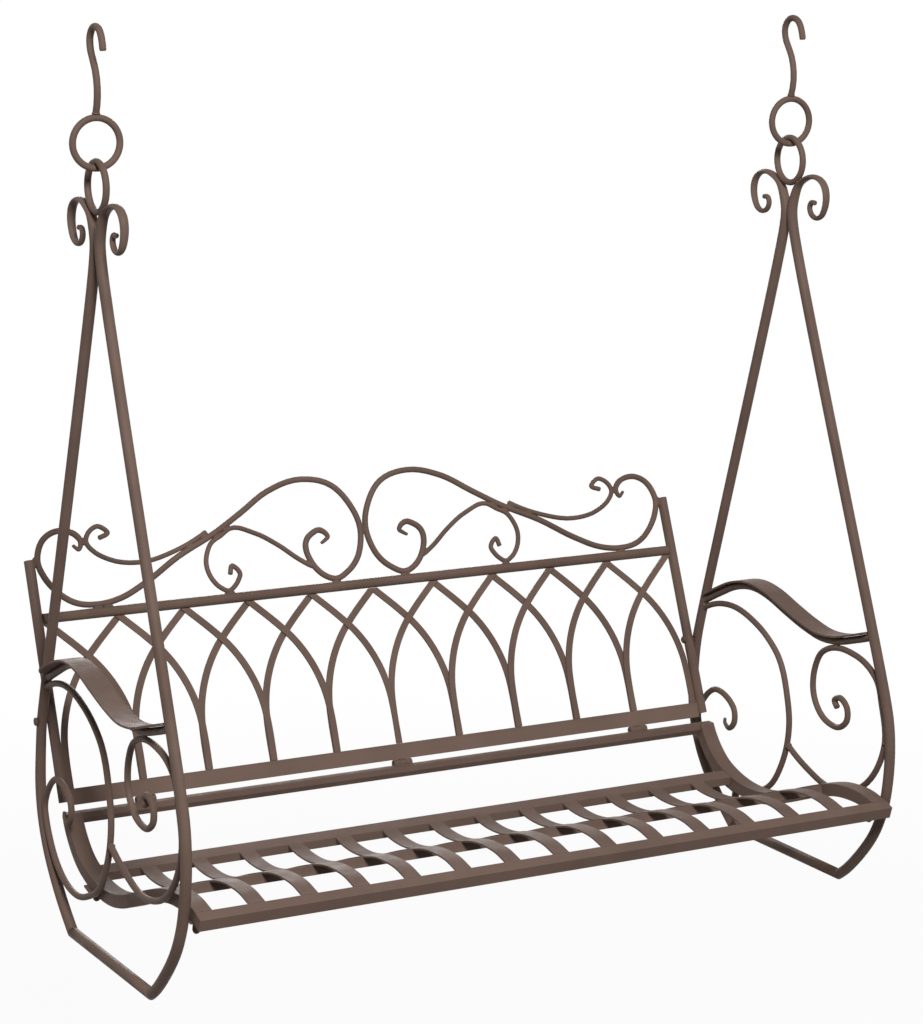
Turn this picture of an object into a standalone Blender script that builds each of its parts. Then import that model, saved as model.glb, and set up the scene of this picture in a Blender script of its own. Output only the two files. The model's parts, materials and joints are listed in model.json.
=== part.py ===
"""Hanging garden swing bench of welded steel rod, flat strip and box section.

X runs along the bench, -Y is its open front and +Z is up.  The origin lies midway between the
two ceiling hooks, level with the inside of their bends, which is where they rest on their eyes.
Each side is one flat figure of bent rods in its own plane, and the seat and the folding back
hang between the two.  All lengths are in metres.
"""

import math

import bmesh
import bpy
from mathutils import Matrix, Vector

# Fits
gap = 0.0003
overrun = 0.012
weld_distance = 0.00001

# Side frames
frame_half_spacing = 0.600
frame_drop = 1.371
frame_depth = 0.565
frame_set_forward = 0.003
hanger_radius = 0.0084

# Hooks and rings
hook_rod_radius = 0.0052
hook_drop = 0.124
hook_bend_height = 0.059
hook_bend_width = 0.050
ring_radius = 0.0368
ring_wire_radius = 0.0052
link_radius = 0.0368
link_wire_radius = 0.0052

# Forged heads of the hangers
head_reach = 0.103
head_height = 0.090
band_thickness = 0.007
band_width = 0.016
crotch_drop = 0.076

# Scrolls of the side frames
scroll_radius = 0.005

# Armrests: their inner edge lies over the support, and their outer corners are drawn in
support_radius = 0.006
armrest_width = 0.037
armrest_inset = 0.012
armrest_thickness = 0.0035
armrest_end_width = 0.020
armrest_nose = 0.040

# Seat
seat_overhang = 0.0321
seat_height = 0.152
seat_depth = 0.527
seat_dip = 0.075
side_rail_width = 0.026
side_rail_height = 0.020
side_clearance = 0.002
front_rail_depth = 0.020
front_rail_height = 0.0195
front_rail_tilt = math.radians(20)
middle_rail_depth = 0.025
middle_rail_height = 0.015
rear_rail_depth = 0.015
rear_rail_height = 0.018
slat_count = 13
slat_end_gap = 0.0553
slat_width = 0.026
slat_thickness = 0.003
cross_bar_depth = 0.013
cross_bar_height = 0.015

# Back
post_radius = 0.0083
post_height = 0.392
post_foot = 0.013
top_rail_radius = 0.0082
top_rail_height = 0.299
back_bolt_height = 0.1318
bottom_rail_width = 0.025
bottom_rail_thickness = 0.006
bay_count = 10
end_bay = 0.1202
arch_width = 0.011
arch_thickness = 0.0032
arch_radius = 0.220
arch_turn = math.radians(46.3)
arch_weld_height = 0.007

# Scrolls on the back
crest_height = 0.180
crest_radius = 0.005
crest_small_radius = 0.004

# Hinges of the back
knuckle_radius = 0.0065
knuckle_length = 0.0105
hinge_pin_radius = 0.0025
hinge_inset = 0.1133

# Bolts and lugs
bolt_radius = 0.004
bolt_clearance = 0.0003
bolt_head_radius = 0.0065
bolt_head_height = 0.005
nut_height = 0.022
bolt_bite = 0.008
lug_thickness = 0.003
lug_length = 0.020
lug_inset = 0.013

# Fineness of the bent rods
hanger_turn_step = math.radians(16)
scroll_turn_step = math.radians(25)
crest_turn_step = math.radians(30)
hook_turn_step = math.radians(24)
seat_turn_step = math.radians(12)
sharp_angle = math.radians(40)
arc_steps = 6
fine_steps = 16
ring_sides = 20
wire_sides = 8
rod_sides = 12
knuckle_sides = 10

# Outlines of the side frames: share of frame_depth rearwards, share of frame_drop downwards
front_hanger_shares = (
    (-0.045, 0.284), (-0.247, 0.494), (-0.439, 0.6965), (-0.501, 0.763), (-0.526, 0.799),
    (-0.531, 0.842), (-0.514, 0.889), (-0.446, 0.945), (-0.343, 0.988), (-0.297, 1.0),
)
rear_hanger_shares = (
    (0.056, 0.288), (0.239, 0.506), (0.425, 0.7285), (0.465, 0.780), (0.483, 0.837),
    (0.467, 0.892), (0.402, 0.941), (0.329, 0.974), (0.250, 1.0),
)
parting_share = 0.233
support_rear_share = (0.421, 0.729)
support_middle_shares = (
    (0.335, 0.711), (0.250, 0.6965), (0.163, 0.6906), (0.080, 0.695), (-0.012, 0.7066),
    (-0.108, 0.7176), (-0.189, 0.7234), (-0.265, 0.7216), (-0.354, 0.7125),
)
support_front_share = (-0.434, 0.703)
rear_scroll_start_share = (0.420, 0.7395)
rear_scroll_upper_shares = (
    (0.343, 0.7256), (0.255, 0.723), (0.163, 0.7314), (0.080, 0.747), (0.023, 0.7657),
    (-0.0265, 0.8131), (-0.037, 0.840), (-0.028, 0.8693), (0.000, 0.898), (0.054, 0.928),
)
rear_lug_share = 0.163
rear_scroll_lower_shares = ((0.2035, 0.9532), (0.287, 0.9502), (0.365, 0.934), (0.425, 0.905))
rear_scroll_rest_share = (0.450, 0.877)
rear_scroll_curl_shares = (
    (0.416, 0.8525), (0.359, 0.8365), (0.295, 0.8400), (0.253, 0.8530), (0.252, 0.8690),
    (0.280, 0.8788), (0.302, 0.8735), (0.301, 0.8679),
)
front_scroll_start_share = (-0.046, 0.870)
front_scroll_lower_shares = (
    (-0.138, 0.8897), (-0.230, 0.8999), (-0.326, 0.8963), (-0.411, 0.8802), (-0.478, 0.8492),
)
front_scroll_rest_share = (-0.507, 0.820)
front_scroll_upper_shares = ((-0.494, 0.777), (-0.4637, 0.7526), (-0.405, 0.7358))
front_scroll_crown_share = (-0.275, 0.729)
front_scroll_curl_shares = (
    (-0.190, 0.743), (-0.155, 0.775), (-0.162, 0.799), (-0.205, 0.8185), (-0.280, 0.8240),
    (-0.322, 0.812), (-0.322, 0.797), (-0.290, 0.788), (-0.262, 0.793), (-0.276, 0.8010),
)

# Hook: share of hook_bend_width rearwards, share of hook_bend_height downwards
hook_shares = (
    (-0.60, 0.576), (-0.52, 0.30), (-0.34, 0.08), (-0.05, 0.0), (0.22, 0.07),
    (0.39, 0.28), (0.36, 0.55), (0.17, 0.82), (0.0, 1.06),
)

# Forged head: share of head_reach outwards, share of head_height below the link's centre
head_shares = (
    (0.70, 0.715), (0.60, 0.715), (0.56, 0.820), (0.62, 0.940), (0.77, 0.985), (0.91, 0.900),
    (1.0, 0.640), (0.96, 0.420), (0.82, 0.285), (0.62, 0.250), (0.43, 0.310),
)
link_rest_angle = math.radians(30)
head_parting_share = 0.76
forged_tip_share = 0.45

# Seat profile: share of seat_depth behind the front edge, share of seat_dip above the trough
seat_shares = (
    (0.100, 0.950), (0.160, 0.960), (0.222, 0.920), (0.298, 0.787), (0.383, 0.587),
    (0.469, 0.360), (0.554, 0.147), (0.630, 0.027), (0.696, 0.0), (0.763, 0.040),
    (0.820, 0.133), (0.877, 0.293), (0.924, 0.547), (0.956, 0.813), (0.972, 1.0), (0.990, 1.24),
)
seat_edge_share = 0.763
seat_rear_share = 1.0
cross_bar_share = 0.308
middle_rail_share = 0.791

# Crest scrolls: share of the half width from the middle, share of crest_height above the rail
crest_tip_shares = (
    (0.139, 0.367), (0.115, 0.422), (0.139, 0.489), (0.181, 0.417), (0.189, 0.320),
    (0.165, 0.133),
)
crest_foot_share = 0.111
crest_inner_shares = ((0.035, 0.189),)
crest_middle_share = 0.483
crest_outer_shares = (
    (0.030, 0.700), (0.078, 0.890), (0.170, 0.972), (0.280, 0.890), (0.370, 0.720),
    (0.460, 0.556), (0.580, 0.378), (0.690, 0.172), (0.770, 0.060),
)
crest_trough_share = 0.834
crest_end_shares = ((0.905, 0.070), (0.960, 0.220))
crest_post_share = 0.445
crest_curl_shares = ((0.970, 0.633), (0.928, 0.706), (0.880, 0.678), (0.860, 0.600),
                     (0.868, 0.528), (0.884, 0.572))
upper_start_share = (0.486, 0.575)
upper_shares = ((0.590, 0.428), (0.695, 0.361), (0.782, 0.411), (0.830, 0.510))
upper_rest_share = (0.843, 0.589)
upper_curl_shares = ((0.833, 0.670), (0.804, 0.717), (0.778, 0.650), (0.806, 0.611))
lower_start_share = (0.176, 0.106)
lower_shares = ((0.215, 0.240), (0.273, 0.389), (0.340, 0.520))
lower_crown_share = (0.410, 0.567)
lower_curl_shares = ((0.475, 0.470), (0.500, 0.289), (0.485, 0.120))
lower_foot_share = 0.443
lower_end_shares = ((0.403, 0.167), (0.424, 0.244), (0.433, 0.167))
scroll_tip_share = 0.6
taper_share = 0.16

# Shares of the hinge knuckle that its leaf covers
leaf_top_share = 0.1
leaf_bottom_share = 0.9
leaf_width_share = 0.8
leaf_share = 0.8
dome_share = 0.92


# Paths

def span_point(span, share):
    """A point of the centripetal curve between the two middle knots of four."""
    first, start, end, last = span
    time_start = math.sqrt((start - first).length)
    time_end = time_start + math.sqrt((end - start).length)
    time_last = time_end + math.sqrt((last - end).length)
    time = time_start + (time_end - time_start) * share
    before = first.lerp(start, time / time_start)
    between = start.lerp(end, share)
    after = end.lerp(last, (time - time_end) / (time_last - time_end))
    rising = before.lerp(between, time / time_end)
    falling = between.lerp(after, (time - time_start) / (time_last - time_start))
    return rising.lerp(falling, share)


def turning(points):
    """The angle through which a path turns in all."""
    total = 0.0
    for before, here, after in zip(points, points[1:], points[2:]):
        total += (here - before).angle(after - here)
    return total


def smooth(knots, turn_step):
    """A curve through the knots, with more points where it turns more."""
    ends = [knots[0] * 2 - knots[1]] + list(knots) + [knots[-1] * 2 - knots[-2]]
    points = []
    for index in range(len(knots) - 1):
        span = ends[index:index + 4]
        fine = [span_point(span, step / fine_steps) for step in range(fine_steps + 1)]
        count = max(1, math.ceil(turning(fine) / turn_step))
        points += [span_point(span, step / count) for step in range(count)]
    return points + [knots[-1]]


def nearest(path, point):
    """The point of a path nearest to a point, and the path's direction there."""
    best = None
    for start, end in zip(path, path[1:]):
        along = end - start
        share = max(0.0, min(1.0, (point - start).dot(along) / along.dot(along)))
        foot = start + along * share
        distance = (point - foot).length
        if best is None or distance < best[0]:
            best = (distance, foot, along.normalized())
    return best[1], best[2]


def rest_on(guess, neighbour, distance):
    """The point at a set distance from a neighbouring path, on the side of the guess."""
    foot, _ = nearest(neighbour, guess)
    return foot + (guess - foot).normalized() * distance


def held_clear(path, neighbour, distance):
    """The path, with the points that come too near to its neighbour moved out to it."""
    moved = []
    for point in path:
        foot, _ = nearest(neighbour, point)
        if (point - foot).length < distance:
            point = foot + (point - foot).normalized() * distance
        moved.append(point)
    return moved


def lengths_along(path):
    """The length of the path up to each of its points."""
    total = [0.0]
    for start, end in zip(path, path[1:]):
        total.append(total[-1] + (end - start).length)
    return total


def at_level(path, level):
    """The point where a path first crosses a level."""
    for start, end in zip(path, path[1:]):
        if min(start.y, end.y) <= level <= max(start.y, end.y):
            return start.lerp(end, (level - start.y) / (end.y - start.y))
    return path[-1]


def at_reach(path, reach):
    """The point of a path at a reach along its first axis, and the direction there."""
    for start, end in zip(path, path[1:]):
        if start.x <= reach <= end.x:
            return start.lerp(end, (reach - start.x) / (end.x - start.x)), (end - start).normalized()
    return path[-1], (path[-1] - path[-2]).normalized()


def frame_point(share):
    """A point of the side frame's plane from its shares."""
    return Vector((share[0] * frame_depth - frame_set_forward, -share[1] * frame_drop))


def crest_point(share):
    """A point of the crest from its shares, on the +X side."""
    return Vector((share[0] * crest_half_width, crest_base + share[1] * crest_height))


# Objects

def new_object(name, data):
    created = bpy.data.objects.new(name, data)
    workshop.objects.link(created)
    return created


def evaluated_mesh(source):
    """A welded mesh of what an object evaluates to."""
    bpy.context.view_layer.update()
    depsgraph = bpy.context.evaluated_depsgraph_get()
    mesh = bpy.data.meshes.new_from_object(source.evaluated_get(depsgraph))
    shape = bmesh.new()
    shape.from_mesh(mesh)
    bmesh.ops.remove_doubles(shape, verts=shape.verts, dist=weld_distance)
    bmesh.ops.recalc_face_normals(shape, faces=shape.faces)
    shape.to_mesh(mesh)
    shape.free()
    return mesh


def as_mesh(source):
    """Put a mesh object in the place of a curve object."""
    name = source.name
    mesh = evaluated_mesh(source)
    matrix = source.matrix_world.copy()
    curve = source.data
    bpy.data.objects.remove(source)
    bpy.data.curves.remove(curve)
    made = new_object(name, mesh)
    mesh.name = name
    made.matrix_world = matrix
    return made


def combine(target, other, operation):
    """Boolean another object into a target, and remove the other."""
    modifier = target.modifiers.new(operation.lower(), 'BOOLEAN')
    modifier.operation = operation
    modifier.object = other
    modifier.solver = 'EXACT'
    mesh = evaluated_mesh(target)
    target.modifiers.remove(modifier)
    target.data = mesh
    bpy.data.objects.remove(other)
    return target


def cut_plane(target, point, normal):
    """Cut away what lies beyond a plane, and close the cut."""
    shape = bmesh.new()
    shape.from_mesh(target.data)
    everything = shape.verts[:] + shape.edges[:] + shape.faces[:]
    cut = bmesh.ops.bisect_plane(shape, geom=everything, dist=weld_distance, plane_co=point,
                                 plane_no=normal, clear_outer=True)
    edges = [item for item in cut['geom_cut'] if isinstance(item, bmesh.types.BMEdge)]
    bmesh.ops.holes_fill(shape, edges=edges, sides=0)
    bmesh.ops.recalc_face_normals(shape, faces=shape.faces)
    shape.to_mesh(target.data)
    shape.free()
    return target


def side_plane(point):
    """A point of the side view in space."""
    return Vector((0, point.x, point.y))


def back_plane(point):
    """A point of the back's front view in space."""
    return Vector((point.x, 0, point.y))


def rod(name, path, radius, to_space, tip_share=1.0):
    """A round rod along a path, which can taper at its last end."""
    curve = bpy.data.curves.new(name, 'CURVE')
    curve.dimensions = '3D'
    curve.bevel_depth = radius
    curve.bevel_resolution = 2
    curve.use_fill_caps = True
    spline = curve.splines.new('POLY')
    spline.points.add(len(path) - 1)
    along = lengths_along(path)
    for spline_point, point, length in zip(spline.points, path, along):
        left = (along[-1] - length) / (along[-1] * taper_share)
        spline_point.co = to_space(point).to_4d()
        spline_point.radius = tip_share + (1 - tip_share) * min(1, left)
    return as_mesh(new_object(name, curve))


def sheet(name, outline, half_thickness, turn):
    """A flat outline with a thickness, turned from its own XY plane into place."""
    curve = bpy.data.curves.new(name, 'CURVE')
    curve.dimensions = '2D'
    curve.fill_mode = 'BOTH'
    curve.extrude = half_thickness
    spline = curve.splines.new('POLY')
    spline.points.add(len(outline) - 1)
    for spline_point, point in zip(spline.points, outline):
        spline_point.co = (point.x, point.y, 0, 1)
    spline.use_cyclic_u = True
    made = as_mesh(new_object(name, curve))
    made.data.transform(turn)
    return made


def band(path, thickness, start_normal=None):
    """The outline of a strip whose upper edge follows a path."""
    lower = []
    for index, point in enumerate(path):
        before = path[max(index - 1, 0)]
        after = path[min(index + 1, len(path) - 1)]
        along = (after - before).normalized()
        normal = Vector((-along.y, along.x))
        if index == 0 and start_normal is not None:
            normal = start_normal
        lower.append(point - normal * thickness)
    return list(path) + lower[::-1]


def box(name, size, centre, turn=None):
    """A rectangular block."""
    shape = bmesh.new()
    bmesh.ops.create_cube(shape, size=1)
    bmesh.ops.scale(shape, vec=size, verts=shape.verts)
    if turn is not None:
        bmesh.ops.transform(shape, matrix=turn, verts=shape.verts)
    bmesh.ops.translate(shape, vec=centre, verts=shape.verts)
    mesh = bpy.data.meshes.new(name)
    shape.to_mesh(mesh)
    shape.free()
    return new_object(name, mesh)


def cylinder(name, radius, length, centre, turn, top_radius=None, sides=rod_sides):
    """A round bar along its turned Z axis."""
    shape = bmesh.new()
    bmesh.ops.create_cone(shape, cap_ends=True, segments=sides, radius1=radius,
                          radius2=radius if top_radius is None else top_radius, depth=length)
    bmesh.ops.transform(shape, matrix=Matrix.Translation(centre) @ turn, verts=shape.verts)
    mesh = bpy.data.meshes.new(name)
    shape.to_mesh(mesh)
    shape.free()
    return new_object(name, mesh)


def dome(name, radius, centre, turn):
    """A ball for the rounded end of a cap nut."""
    shape = bmesh.new()
    bmesh.ops.create_uvsphere(shape, u_segments=wire_sides, v_segments=wire_sides // 2 + 1,
                              radius=radius)
    bmesh.ops.transform(shape, matrix=Matrix.Translation(centre) @ turn, verts=shape.verts)
    mesh = bpy.data.meshes.new(name)
    shape.to_mesh(mesh)
    shape.free()
    return new_object(name, mesh)


def torus(name, major, minor, centre, turn):
    bpy.ops.mesh.primitive_torus_add(major_radius=major, minor_radius=minor,
                                     major_segments=ring_sides, minor_segments=wire_sides)
    made = bpy.context.object
    made.name = name
    made.data.name = name
    made.data.transform(Matrix.Translation(centre) @ turn)
    for holder in made.users_collection:
        holder.objects.unlink(made)
    workshop.objects.link(made)
    return made


def butt(made, neighbour, end, distance, inside, to_space=side_plane):
    """Cut a piece's end to lie against a neighbouring rod, on the side of an inner point."""
    foot, along = nearest(neighbour, end)
    away = Vector((-along.y, along.x))
    if away.dot(inside - foot) < 0:
        away = -away
    cut_plane(made, to_space(foot + away * distance), to_space(-away))


def mirrored(points, sign):
    """The points of a flat path, for the side of a sign."""
    return [Vector((sign * point.x, point.y)) for point in points]


def empty(name, location, parent=None):
    made = bpy.data.objects.new(name, None)
    bench.objects.link(made)
    made.empty_display_size = hanger_radius
    made.location = location
    made.parent = parent
    return made


def material(name, colour, roughness, metallic):
    made = bpy.data.materials.new(name)
    made.use_nodes = True
    shader = made.node_tree.nodes['Principled BSDF']
    shader.inputs['Base Color'].default_value = (*colour, 1)
    shader.inputs['Roughness'].default_value = roughness
    shader.inputs['Metallic'].default_value = metallic
    made.diffuse_color = (*colour, 1)
    return made


def finish(made, look, parent, location, round_shape=True):
    """Give a piece its material and place, and put it in the bench's collection."""
    if not made.data.materials:
        made.data.materials.append(look)
    if round_shape:
        made.data.shade_smooth()
        made.data.set_sharp_from_angle(angle=sharp_angle)
    workshop.objects.unlink(made)
    bench.objects.link(made)
    made.parent = parent
    made.location = location
    return made


def copy_of(made, name):
    """Another object with the same mesh."""
    return new_object(name, made.data)


for scene_object in list(bpy.data.objects):
    bpy.data.objects.remove(scene_object)

bench = bpy.data.collections.new('swing_bench')
bpy.context.scene.collection.children.link(bench)
workshop = bpy.data.collections.new('workshop')
bpy.context.scene.collection.children.link(workshop)

rod_coat = material('brown_coat_on_rod', (0.150, 0.108, 0.086), 0.55, 0.10)
strip_coat = material('brown_coat_on_strip', (0.160, 0.116, 0.094), 0.60, 0.10)
bolt_coat = material('brown_coat_on_bolts', (0.120, 0.088, 0.070), 0.45, 0.30)

to_side = Matrix(((0, 0, 1, 0), (1, 0, 0, 0), (0, 1, 0, 0), (0, 0, 0, 1)))
to_back = Matrix(((1, 0, 0, 0), (0, 0, -1, 0), (0, 1, 0, 0), (0, 0, 0, 1)))
along_x = Matrix.Rotation(math.radians(90), 4, 'Y')
flat_ring = Matrix.Rotation(math.radians(90), 4, 'X')


# Places that the pieces share

ring_top = hook_rod_radius - hook_drop
ring_centre = ring_top - gap - ring_wire_radius - ring_radius
swing_level = ring_centre - ring_radius
link_centre = swing_level + ring_wire_radius + gap + link_wire_radius - link_radius
rod_pair_half = hanger_radius + gap / 2

bench_pivot = empty('bench_swing_axis', (0, 0, swing_level))
left_pivot = empty('left_hook_axis', (-frame_half_spacing, 0, swing_level))
right_pivot = empty('right_hook_axis', (frame_half_spacing, 0, swing_level))
sides = (('left', -1, left_pivot), ('right', 1, right_pivot))


def in_bench(made, look, location=(0, 0, 0), round_shape=True):
    """Place a piece of the swinging bench by its place in the world."""
    return finish(made, look, bench_pivot, Vector(location) - bench_pivot.location, round_shape)


def both_sides(made, look, base_name):
    """Place a piece of one side frame in both frames."""
    twin = copy_of(made, base_name + '_right')
    made.name = base_name + '_left'
    in_bench(made, look, (-frame_half_spacing, 0, 0))
    in_bench(twin, look, (frame_half_spacing, 0, 0))


# Hooks and rings

hook_path = smooth([Vector((a * hook_bend_width, hook_rod_radius - b * hook_bend_height))
                    for a, b in hook_shares], hook_turn_step)
hook_path.append(Vector((0, ring_top)))
hook_mesh = rod('hook', hook_path, hook_rod_radius, side_plane)
hook_mesh.data.name = 'hook'
ring_mesh = torus('hook_ring', ring_radius, ring_wire_radius, (0, 0, ring_centre), flat_ring)
link_mesh = torus('link_ring', link_radius, link_wire_radius, (0, 0, link_centre), along_x)
for side, sign, pivot in sides:
    for part, shape in (('hook_', hook_mesh), ('hook_ring_', ring_mesh)):
        piece = copy_of(shape, part + side)
        finish(piece, rod_coat, pivot, Vector((0, 0, 0)) - Vector((0, 0, swing_level)))
bpy.data.objects.remove(hook_mesh)
bpy.data.objects.remove(ring_mesh)
both_sides(link_mesh, rod_coat, 'link_ring')


# Hangers: forged head, straight pair, then the sweep down to the bottom bar

def hanger_path(shares, sign):
    """One hanger from the tip of its head to the corner of the frame, rearwards for +1."""
    head = [Vector((sign * a * head_reach, link_centre - b * head_height)) for a, b in head_shares]
    rest = link_radius + link_wire_radius + 2 * gap + band_thickness / 2
    rest /= math.cos(hanger_turn_step / 2)
    head.append(Vector((sign * rest * math.sin(link_rest_angle),
                        link_centre - rest * math.cos(link_rest_angle))))
    head.append(Vector((sign * rod_pair_half, link_centre - crotch_drop)))
    lower = [Vector((sign * rod_pair_half, -parting_share * frame_drop))]
    lower += [frame_point(share) for share in shares]
    head_points = smooth(head, hanger_turn_step)
    centre = Vector((0, link_centre))
    clear = []
    for index, point in enumerate(head_points):
        out = point - centre
        if out.length < rest:
            point = centre + out.normalized() * rest
        reach = max(rod_pair_half, sign * point.x)
        clear.append(Vector((sign * reach, point.y)))
    rest_of_path = [Vector((sign * max(rod_pair_half, sign * point.x), point.y))
                    for point in smooth(lower, hanger_turn_step)]
    return clear, rest_of_path


def forge(made, path, head_count):
    """Flatten a hanger's head into a band that narrows to its tip."""
    along = lengths_along(path[:head_count])
    for vertex in made.data.vertices:
        flat_point = Vector((vertex.co.y, vertex.co.z))
        index = min(range(len(path)), key=lambda i: (path[i] - flat_point).length)
        if index >= head_count:
            continue
        before = path[max(index - 1, 0)]
        after = path[index + 1]
        here = path[index]
        normal = Vector((before.y - after.y, after.x - before.x)).normalized()
        off = (flat_point - here).dot(normal)
        share = along[index] / along[-1]
        thin = band_thickness / (2 * hanger_radius)
        wide = band_width / (2 * hanger_radius)
        if share > head_parting_share:
            blend = (share - head_parting_share) / (1 - head_parting_share)
            blend = blend * blend * (3 - 2 * blend)
            thin += (1 - thin) * blend
            wide += (1 - wide) * blend
        else:
            wide *= forged_tip_share + (1 - forged_tip_share) * share / head_parting_share
        squeeze = normal * off * (thin - 1)
        vertex.co.y += squeeze.x
        vertex.co.z += squeeze.y
        vertex.co.x *= wide


front_head, front_sweep = hanger_path(front_hanger_shares, -1)
rear_head, rear_sweep = hanger_path(rear_hanger_shares, 1)
front_path = front_head + front_sweep
rear_path = rear_head + rear_sweep
front_corner = front_path[-1]
rear_corner = rear_path[-1]


def mitre(path, corner, bar_direction):
    """The plane halfway between a hanger and the bottom bar, facing the bar."""
    arriving = (corner - path[-2]).normalized()
    return (arriving + bar_direction).normalized()


front_mitre = mitre(front_path, front_corner, Vector((1, 0)))
rear_mitre = mitre(rear_path, rear_corner, Vector((-1, 0)))

seat_level = seat_height - frame_drop
seat_rear_top = seat_level + (1 - seat_edge_share) * seat_dip
back_bolt_point = at_level(rear_sweep, seat_rear_top + back_bolt_height)

for base, head_points, sweep, corner, across in (
        ('front_hanger', front_head, front_sweep, front_corner, front_mitre),
        ('rear_hanger', rear_head, rear_sweep, rear_corner, rear_mitre)):
    arriving = (sweep[-1] - sweep[-2]).normalized()
    path = head_points + sweep + [corner + arriving * overrun]
    piece = rod(base, path, hanger_radius, side_plane)
    forge(piece, path, len(head_points))
    cut_plane(piece, side_plane(corner - across * gap / 2), side_plane(across))
    if base == 'rear_hanger':
        drill = cylinder('drill', bolt_radius + bolt_clearance, 2 * (hanger_radius + overrun),
                         side_plane(back_bolt_point), along_x)
        combine(piece, drill, 'DIFFERENCE')
    both_sides(piece, rod_coat, base)

bar_path = [front_corner - Vector((overrun, 0)), rear_corner + Vector((overrun, 0))]
bottom_bar = rod('bottom_bar', bar_path, hanger_radius, side_plane)
cut_plane(bottom_bar, side_plane(front_corner + front_mitre * gap / 2), side_plane(-front_mitre))
cut_plane(bottom_bar, side_plane(rear_corner + rear_mitre * gap / 2), side_plane(-rear_mitre))
both_sides(bottom_bar, rod_coat, 'bottom_bar')


# Seat profile, from the front edge of the front rail to the rear

seat_edge = Vector((at_level(front_sweep, seat_level).x - seat_overhang, seat_level))
seat_trough = seat_edge.y - seat_edge_share * seat_dip
tilt_along = Vector((math.cos(front_rail_tilt), math.sin(front_rail_tilt)))
tilt_normal = Vector((-tilt_along.y, tilt_along.x))
seat_start = seat_edge + tilt_along * (front_rail_depth + gap)
seat_knots = [seat_start]
seat_knots += [Vector((seat_edge.x + a * seat_depth, seat_trough + b * seat_dip))
               for a, b in seat_shares]
seat_path = smooth(seat_knots, seat_turn_step)
seat_rear = seat_edge.x + seat_rear_share * seat_depth
rail_outer = frame_half_spacing - hanger_radius - side_clearance
rail_inner = rail_outer - side_rail_width
rail_middle = rail_outer - side_rail_width / 2
between_rails = 2 * (rail_inner - gap)


def turned(along):
    """The turn about X that brings Y onto a direction of the side view."""
    return Matrix.Rotation(math.atan2(along.y, along.x), 4, 'X')


def under_seat(reach, depth):
    """A point at a depth under the seat's surface, with the directions there."""
    point, along = at_reach(seat_path, reach)
    normal = Vector((-along.y, along.x))
    return point - normal * depth, along, normal


front_centre = seat_edge + tilt_along * front_rail_depth / 2 - tilt_normal * front_rail_height / 2
front_rail = box('seat_front_rail', (2 * rail_outer, front_rail_depth, front_rail_height),
                 side_plane(front_centre), turned(tilt_along))
in_bench(front_rail, strip_coat, round_shape=False)

middle_point, middle_along = at_reach(seat_path, seat_edge.x + middle_rail_share * seat_depth)
middle_normal = Vector((-middle_along.y, middle_along.x))
middle_centre = (middle_point + middle_along * middle_rail_depth / 2
                 - middle_normal * middle_rail_height / 2)
middle_rail = box('seat_middle_rail', (between_rails, middle_rail_depth, middle_rail_height),
                  side_plane(middle_centre), turned(middle_along))
in_bench(middle_rail, strip_coat, round_shape=False)

# Front lugs and bolts sit where the hanger passes the rail, rear ones where the scroll does
front_level = under_seat(frame_point(front_hanger_shares[6]).x, side_rail_height)[0].y
front_lug_reach = at_level(front_sweep, front_level).x
rear_lug_reach = frame_point((rear_lug_share, 0)).x

side_rail = sheet('seat_side_rail', band(seat_path, side_rail_height, tilt_normal),
                  side_rail_width / 2, to_side)
cut_plane(side_rail, (0, 0, seat_rear_top), (0, 0, 1))
cut_plane(side_rail, (0, seat_rear, 0), (0, 1, 0))
for reach in (front_lug_reach, rear_lug_reach):
    point, along, normal = under_seat(reach, side_rail_height)
    centre = point + normal * (bolt_bite + bolt_clearance - overrun) / 2
    drill = cylinder('drill', bolt_radius + bolt_clearance,
                     bolt_bite + bolt_clearance + overrun, side_plane(centre), turned(along))
    combine(side_rail, drill, 'DIFFERENCE')
for side, sign, pivot in sides:
    piece = copy_of(side_rail, 'seat_side_rail_' + side)
    in_bench(piece, strip_coat, (sign * rail_middle, 0, 0), round_shape=False)
bpy.data.objects.remove(side_rail)

for place, reach, outer in (
        ('front', front_lug_reach, frame_half_spacing - hanger_radius - gap),
        ('rear', rear_lug_reach, frame_half_spacing - scroll_radius - gap)):
    point, along, normal = under_seat(reach, side_rail_height + gap)
    turn = turned(along)
    bolt_face = point - normal * (lug_thickness + gap)
    for side, sign, pivot in sides:
        inner = rail_middle - lug_inset
        middle = sign * (inner + outer) / 2
        lug_centre = side_plane(point - normal * lug_thickness / 2)
        lug_centre.x = middle
        lug = box('seat_lug_%s_%s' % (place, side), (outer - inner, lug_length, lug_thickness),
                  lug_centre, turn)
        hole_centre = side_plane(point)
        hole_centre.x = sign * rail_middle
        drill = cylinder('drill', bolt_radius + bolt_clearance, 2 * overrun, hole_centre, turn)
        combine(lug, drill, 'DIFFERENCE')
        in_bench(lug, rod_coat, round_shape=False)

        shank_length = bolt_bite + lug_thickness + 2 * gap
        collar = nut_height - bolt_head_radius
        shank_centre = side_plane(bolt_face + normal * (shank_length - collar / 2) / 2)
        nut_centre = side_plane(bolt_face - normal * collar / 2)
        dome_centre = side_plane(bolt_face - normal * collar)
        for centre in (shank_centre, nut_centre, dome_centre):
            centre.x = sign * rail_middle
        bolt = cylinder('seat_bolt_%s_%s' % (place, side), bolt_head_radius, collar, nut_centre,
                        turn, sides=wire_sides)
        shank = cylinder('shank', bolt_radius, shank_length + collar / 2, shank_centre, turn,
                         sides=wire_sides)
        combine(bolt, shank, 'UNION')
        combine(bolt, dome('dome', dome_share * bolt_head_radius, dome_centre, turn), 'UNION')
        in_bench(bolt, bolt_coat)


# Slats, welded onto one cross bar

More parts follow.
